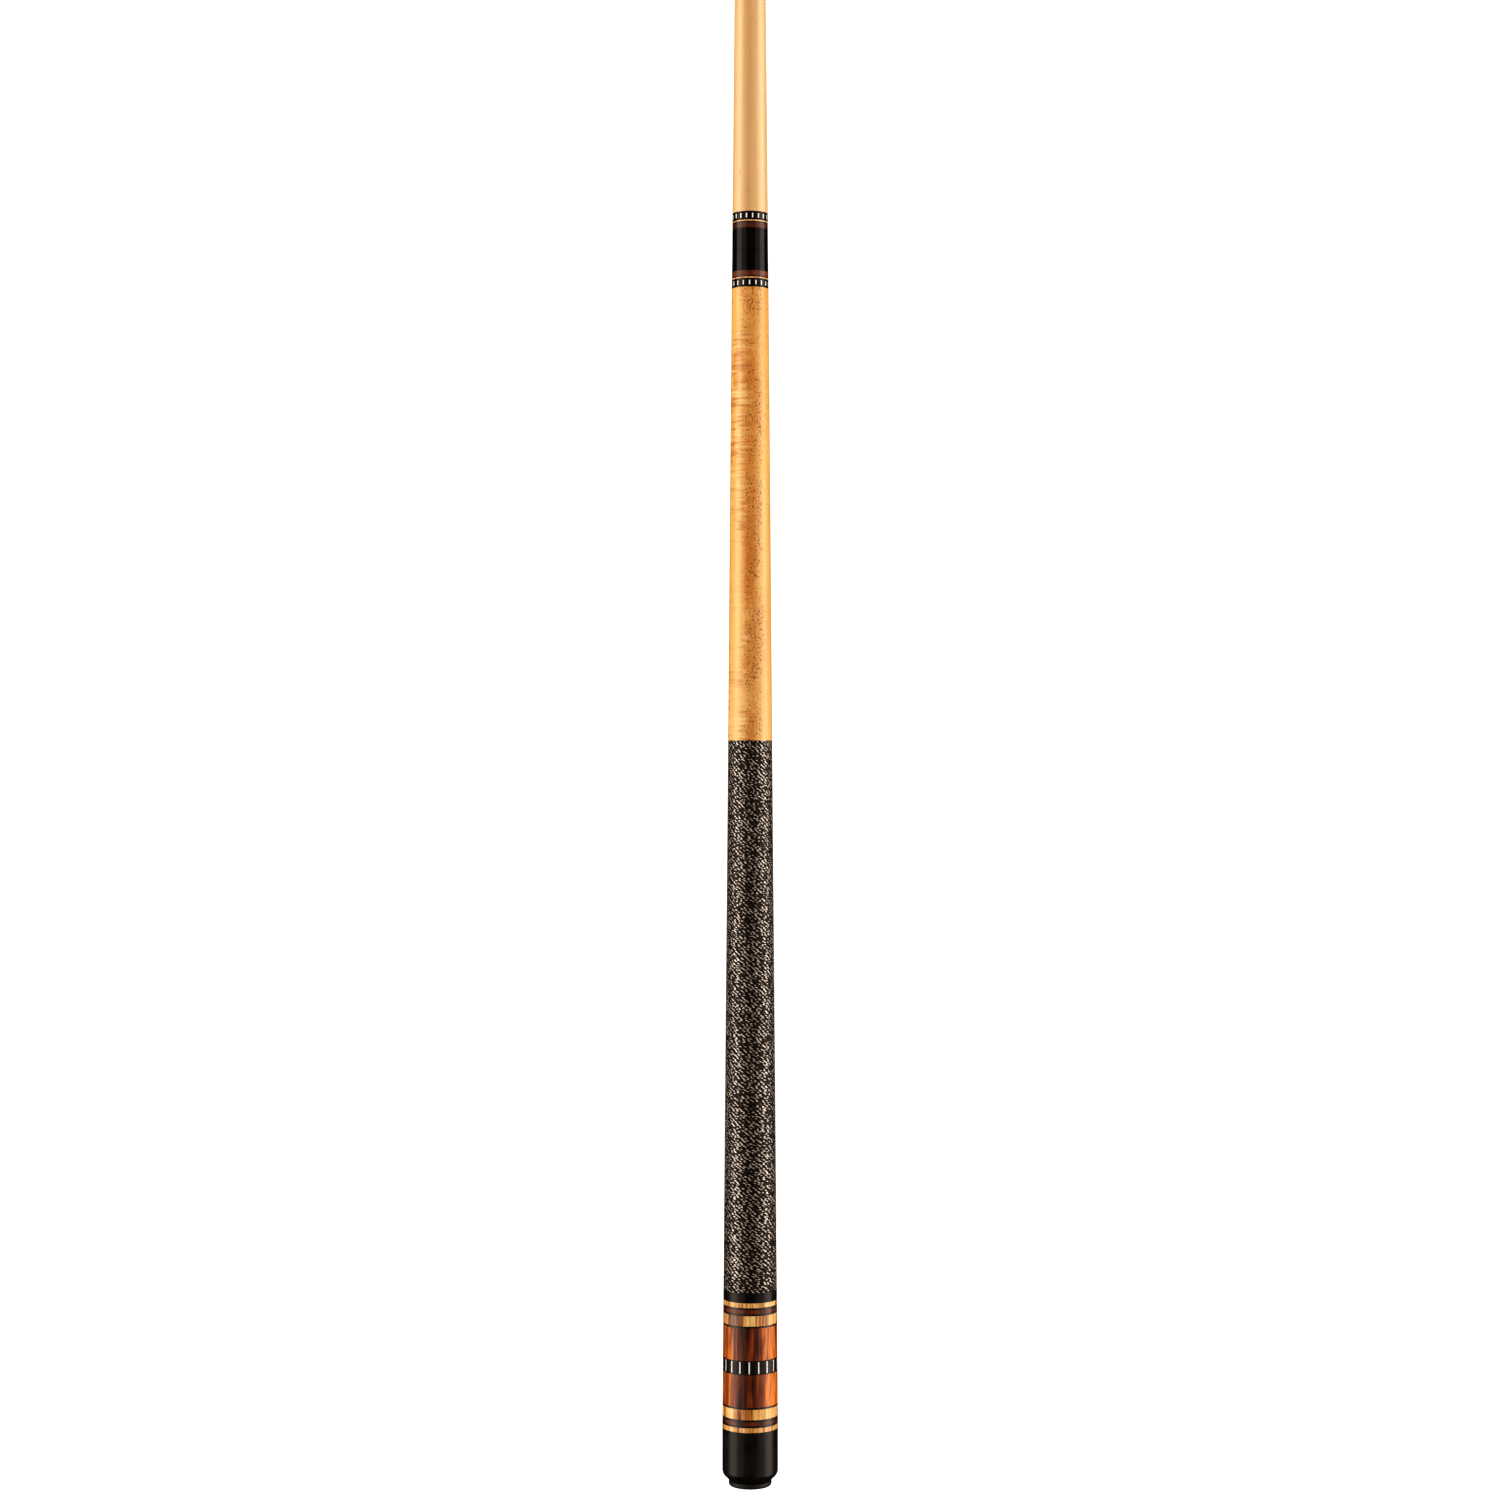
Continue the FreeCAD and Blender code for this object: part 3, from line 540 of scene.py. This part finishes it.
def linen():
    """Wrap: two-ply thread, black with cream flecks where the light ply comes to the top. The
    flecks follow the winding round the handle, about as many to each turn, unevenly spaced."""
    graph = Graph("linen")
    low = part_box("linen_wrap")[0]
    angle = graph.math("FRACT", graph.times(graph.math("ARCTAN2", graph.y, graph.x), 0.5 / math.pi))
    lift = graph.math("SUBTRACT", graph.times(graph.add(graph.z, -low.z), 1 / THREAD_PITCH), angle)
    across = graph.math("FRACT", lift)
    turn = graph.add(graph.math("FLOOR", lift), angle)
    uneven = graph.times(graph.noise(150, 520, detail=2), 0.9)
    slant = graph.times(graph.add(across, -0.5), 0.25)
    wound = graph.add(graph.times(turn, FLECKS_PER_TURN), uneven, slant)
    chance = graph.node("TexWhiteNoise", {"W": graph.math("FLOOR", wound)}, noise_dimensions="1D")
    chance = chance.outputs["Value"]
    nudge = graph.times(graph.add(chance, -0.5), 0.5)
    along = graph.math("ABSOLUTE", graph.add(graph.math("FRACT", wound), nudge, -0.5))
    ridge = graph.math("ABSOLUTE", graph.add(across, -0.5))
    half_length = graph.add(graph.times(chance, 0.2 * FLECK_LENGTH), 0.4 * FLECK_LENGTH)
    inside = graph.math("SUBTRACT", half_length, along)
    fleck = graph.times(graph.step(inside, -0.03, 0.05), graph.step(ridge, 0.46, 0.34))
    fibres = graph.noise(5200, 5200, detail=3)
    black = graph.mix(fibres, rgb(0.002, 0.001, 0.0008), rgb(0.012, 0.007, 0.005))
    paleness = graph.math("FRACT", graph.times(chance, 13.0))
    cream = graph.mix(paleness, rgb(0.48, 0.34, 0.26), rgb(0.78, 0.71, 0.64))
    seen = graph.step(graph.math("FRACT", graph.times(chance, 7.0)), 0.28, 0.64, 0.04, 1.0)
    fleck = graph.times(fleck, seen)
    twist = graph.math("SINE", graph.times(graph.add(wound, graph.times(across, 0.6)), 4 * math.pi))
    graph.bump(graph.add(graph.times(twist, 0.5), fibres), THREAD_RELIEF, strength=0.4)
    return graph.finish(
        graph.mix(fleck, black, cream),
        graph.step(fibres, 0.3, 0.7, 0.45, 0.55),
        Specular_IOR_Level=0.12,
        Specular_Tint=rgb(1.0, 0.80, 0.68),
        Coat_Weight=fleck,
        Coat_Roughness=0.30,
        Coat_IOR=4.0,
    )


def wound_thread():
    """The wrap's surface: a helical ridge for each turn of thread, tapering with the handle."""
    low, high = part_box("linen_wrap")
    bottom_radius = high.x
    top_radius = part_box("forearm")[1].x
    length = high.z - low.z
    columns = (math.ceil(length / THREAD_PITCH) + 2) * THREAD_SIDES
    mesh = bmesh.new()
    rows = []
    for share, groove in THREAD_ROWS:
        row = []
        for column in range(columns + 1):
            turn = column / THREAD_SIDES
            height = min(max(THREAD_PITCH * (turn - 1 + share), 0.0), length)
            radius = bottom_radius + (top_radius - bottom_radius) * height / length
            radius -= groove * THREAD_GROOVE
            angle = 2 * math.pi * turn
            place = (radius * math.cos(angle), radius * math.sin(angle), low.z + height)
            row.append(mesh.verts.new(place))
        rows.append(row)
    rows.append(rows[0][THREAD_SIDES:])
    for lower, upper in zip(rows, rows[1:]):
        for column in range(columns - THREAD_SIDES):
            corners = (lower[column], lower[column + 1], upper[column + 1], upper[column])
            heights = [corner.co.z for corner in corners]
            if max(heights) - min(heights) > SHORTEST_THREAD_FACE:
                mesh.faces.new(corners)
    loose = [vertex for vertex in mesh.verts if not vertex.link_faces]
    bmesh.ops.delete(mesh, geom=loose, context="VERTS")
    return piece_from(mesh, "linen_thread", sharp_angle=180)


# --- leather tip ---------------------------------------------------------------------------------


def domed_tip():
    """The tip, turned from a profile: pressed layers down the side and a scuffed dome."""
    low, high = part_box("leather_tip")
    radius = high.x
    rim_angle = math.asin(radius / TIP_DOME_RADIUS)
    dome_centre = high.z - TIP_DOME_RADIUS
    rim = dome_centre + TIP_DOME_RADIUS * math.cos(rim_angle)
    profile = [(0.0, low.z)]
    for layer in range(TIP_LAYERS):
        bottom = low.z + (rim - low.z) * layer / TIP_LAYERS
        top = low.z + (rim - low.z) * (layer + 1) / TIP_LAYERS
        profile.append((radius - TIP_LAYER_GROOVE, bottom))
        for share in TIP_LAYER_FLAT:
            profile.append((radius, bottom + share * (top - bottom)))
    for ring in range(TIP_DOME_RINGS):
        angle = rim_angle * (1 - ring / TIP_DOME_RINGS)
        profile.append(
            (TIP_DOME_RADIUS * math.sin(angle), dome_centre + TIP_DOME_RADIUS * math.cos(angle))
        )
    profile.append((0.0, high.z))
    mesh = bmesh.new()
    rings = []
    for distance, height in profile:
        if distance == 0.0:
            rings.append([mesh.verts.new((0.0, 0.0, height))])
            continue
        ring = []
        for side in range(TIP_SIDES):
            angle = 2 * math.pi * side / TIP_SIDES
            place = mathutils.Vector((distance * math.cos(angle), distance * math.sin(angle), height))
            if height > rim:
                coarse = mathutils.noise.noise(place * TIP_SCUFF_COARSE)
                fine = mathutils.noise.noise(place * TIP_SCUFF_FINE)
                place.z -= TIP_SCUFF * (1 + coarse + 0.5 * fine) / 2
            ring.append(mesh.verts.new(place))
        rings.append(ring)
    for lower, upper in zip(rings, rings[1:]):
        for side in range(TIP_SIDES):
            after = (side + 1) % TIP_SIDES
            if len(lower) == 1:
                mesh.faces.new((lower[0], upper[after], upper[side]))
            elif len(upper) == 1:
                mesh.faces.new((lower[side], lower[after], upper[0]))
            else:
                mesh.faces.new((lower[side], lower[after], upper[after], upper[side]))
    return piece_from(mesh, "domed_leather_tip", sharp_angle=50)


def piece_from(mesh, name, sharp_angle):
    """A smooth-shaded object from a bmesh, with edges sharper than an angle kept crisp."""
    bmesh.ops.recalc_face_normals(mesh, faces=mesh.faces)
    data = bpy.data.meshes.new(name)
    mesh.to_mesh(data)
    mesh.free()
    data.shade_smooth()
    data.set_sharp_from_angle(angle=math.radians(sharp_angle))
    piece = bpy.data.objects.new(name, data)
    bpy.context.scene.collection.objects.link(piece)
    return piece


# --- camera, light and floor ---------------------------------------------------------------------


def place_camera():
    data = bpy.data.cameras.new("camera")
    data.lens = CAMERA_LENS
    data.sensor_width = SENSOR_WIDTH
    data.shift_x = CAMERA_SHIFT
    camera = bpy.data.objects.new("camera", data)
    camera.location = (
        CAMERA_DISTANCE * math.sin(CAMERA_TURN), -CAMERA_DISTANCE * math.cos(CAMERA_TURN), CAMERA_HEIGHT
    )
    camera.rotation_euler = (math.radians(90), 0, CAMERA_TURN)
    bpy.context.scene.collection.objects.link(camera)
    bpy.context.scene.camera = camera


def softbox(name, azimuth, spread, radiance):
    """A tall upright rectangle of light that spans an angle round the cue and faces it."""
    data = bpy.data.lights.new(name, "AREA")
    data.shape = "RECTANGLE"
    data.size = 2 * SOFTBOX_DISTANCE * math.tan(math.radians(spread / 2))
    data.size_y = SOFTBOX_HEIGHT
    data.energy = radiance * math.pi * data.size * data.size_y
    data.color = SOFTBOX_COLOUR
    light = bpy.data.objects.new(name, data)
    turn = math.radians(azimuth) - CAMERA_TURN
    light.location = (
        -SOFTBOX_DISTANCE * math.sin(turn),
        -SOFTBOX_DISTANCE * math.cos(turn),
        SOFTBOX_MIDDLE_HEIGHT,
    )
    light.rotation_euler = (math.radians(90), 0, -turn)
    light.visible_camera = False
    bpy.context.scene.collection.objects.link(light)
    return light


def white_world():
    """White behind the cue, with a soft fill on it that its polish hardly mirrors."""
    world = bpy.data.worlds.new("studio")
    world.use_nodes = True
    bpy.context.scene.world = world
    tree = world.node_tree
    rays = tree.nodes.new("ShaderNodeLightPath")
    gloss = tree.nodes.new("ShaderNodeMix")
    gloss.inputs["A"].default_value = FILL
    gloss.inputs["B"].default_value = FILL_IN_GLOSS
    tree.links.new(rays.outputs["Is Glossy Ray"], gloss.inputs["Factor"])
    seen = tree.nodes.new("ShaderNodeMix")
    seen.inputs["B"].default_value = BACKGROUND
    tree.links.new(rays.outputs["Is Camera Ray"], seen.inputs["Factor"])
    tree.links.new(gloss.outputs["Result"], seen.inputs["A"])
    background = tree.nodes["Background"]
    background.inputs["Color"].default_value = rgb(1, 1, 1)
    tree.links.new(seen.outputs["Result"], background.inputs["Strength"])


def pale_floor():
    """A plane just below the lowest place that the bumper is pulled to. It glows a little, so that
    it reads as white as the background, and it lights and mirrors nothing."""
    data = bpy.data.meshes.new("floor")
    half = FLOOR_SIZE / 2
    pull = next(joint for joint in frame["joints"] if joint["name"] == "bumper_pull")
    height = -pull["range_m"][1] - FLOOR_GAP
    corners = [(-half, -half, height), (half, -half, height), (half, half, height), (-half, half, height)]
    data.from_pydata(corners, [], [range(4)])
    floor = bpy.data.objects.new("floor", data)
    floor.visible_diffuse = False
    floor.visible_glossy = False
    bpy.context.scene.collection.objects.link(floor)
    graph = Graph("floor")
    graph.finish(FLOOR_COLOUR, 1.0, Specular_IOR_Level=0.0, Emission_Color=rgb(1, 1, 1))
    graph.shader.inputs["Emission Strength"].default_value = FLOOR_GLOW
    data.materials.append(graph.material)


place_camera()
for settings in SOFTBOXES:
    softbox(**settings)
softbox(**BACK_LIGHT).visible_glossy = False
white_world()
pale_floor()
bpy.context.scene.view_settings.view_transform = "Standard"
bpy.context.scene.view_settings.look = "Medium High Contrast"

# --- materials on the CAD's pieces ---------------------------------------------------------------

materials = {
    "black_rubber": black_rubber(),
    "black_phenolic": black_phenolic(),
    "white_inlay": white_inlay(),
    "black_veneer": black_veneer(),
    "light_ring_wood": light_ring_wood(),
    "streaked_wood": streaked_wood(),
    "red_brown_wood": red_brown_wood(),
    "cocobolo": cocobolo(),
    "figured_maple": figured_maple(),
    "shaft_maple": plain_maple(
        "shaft_maple", rgb(0.86, 0.60, 0.305), rgb(0.74, 0.450, 0.175), coat=0.8
    ),
    "handle_maple": plain_maple(
        "handle_maple", rgb(0.80, 0.56, 0.32), rgb(0.62, 0.38, 0.18), coat=0.0
    ),
    "linen": linen(),
    "bolt_steel": turned_metal("bolt_steel", rgb(0.50, 0.50, 0.51), rgb(0.26, 0.25, 0.24), 0.30, 0.48),
    "pin_steel": turned_metal("pin_steel", rgb(0.64, 0.64, 0.65), rgb(0.45, 0.45, 0.45), 0.16, 0.30),
    "insert_brass": turned_metal("insert_brass", rgb(0.80, 0.57, 0.22), rgb(0.52, 0.33, 0.10), 0.20, 0.36),
    "ferrule_white": ferrule_white(),
    "pad_fibre": pad_fibre(),
    "tip_leather": tip_leather(),
}

for subpart in frame["record"]["subparts"]:
    for material_slot in frame["nodes"][subpart["node"]].material_slots:
        material_slot.material = materials[subpart["material_slot"]]

# --- pieces made here ----------------------------------------------------------------------------

for make, node, body, slot in (
    (wound_thread, "linen_wrap", "butt", "linen"),
    (domed_tip, "leather_tip", "tip", "tip_leather"),
):
    piece = make()
    piece.data.materials.append(materials[slot])
    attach(piece, body)
    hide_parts(node)
